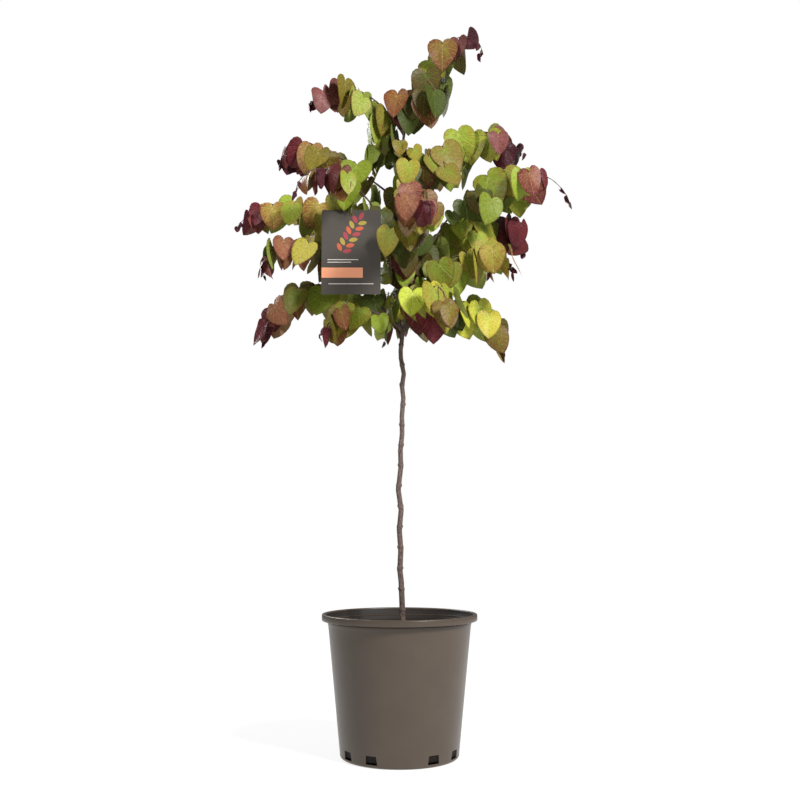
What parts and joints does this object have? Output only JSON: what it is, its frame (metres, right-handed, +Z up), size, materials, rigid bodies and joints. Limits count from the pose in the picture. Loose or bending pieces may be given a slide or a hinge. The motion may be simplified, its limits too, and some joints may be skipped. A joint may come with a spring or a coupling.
{
  "type": "young redbud tree in a nursery pot",
  "caption": "Young redbud grown as a small standard: thin zigzag stem, arching boughs hung with heart-shaped leaves, in a round plastic nursery pot with a label card.",
  "frame": {"origin": "middle of the pot's flat underside, on the floor", "axes": "+Z up along the stem, -Y towards the viewer of the picture, +X to that viewer's right"},
  "size_m": [0.6671, 0.5529, 1.4411],
  "materials": {
    "pot": "satin",
    "potting_mix": "matte",
    "bark": "matte",
    "leaves": "satin",
    "label_card": "satin",
    "tie": "satin"
  },
  "bodies": {
    "root": {"pot": "pot", "potting_mix": "potting_mix", "stem": "bark", "leader": "bark", "bough_left_top": "bark", "bough_left_high": "bark", "bough_left_middle": "bark", "bough_left_inner": "bark", "bough_left_low": "bark", "bough_right_high": "bark", "bough_right_long": "bark", "bough_right_middle": "bark", "bough_right_inner": "bark", "bough_right_low": "bark", "bough_front_left": "bark", "bough_front_middle": "bark", "bough_front_low": "bark", "bough_front_left_low": "bark", "bough_back_top": "bark", "bough_back_high": "bark", "bough_back_left": "bark", "bough_back_right": "bark", "bough_back_low": "bark", "leaves_top": "leaves", "leaves_left_top": "leaves", "leaves_left_high": "leaves", "leaves_left_middle": "leaves", "leaves_left_inner": "leaves", "leaves_left_low": "leaves", "leaves_right_high": "leaves", "leaves_right_long": "leaves", "leaves_right_middle": "leaves", "leaves_right_inner": "leaves", "leaves_right_low": "leaves", "leaves_front_left": "leaves", "leaves_front_middle": "leaves", "leaves_front_low": "leaves", "leaves_front_left_low": "leaves", "leaves_back_top": "leaves", "leaves_back_high": "leaves", "leaves_back_left": "leaves", "leaves_back_right": "leaves", "leaves_back_low": "leaves", "leaves_centre_high": "leaves", "leaves_centre_front": "leaves", "leaves_centre_left": "leaves", "leaves_centre_back": "leaves", "label_card": "label_card", "card_tie": "tie"}
  },
  "joints": []
}
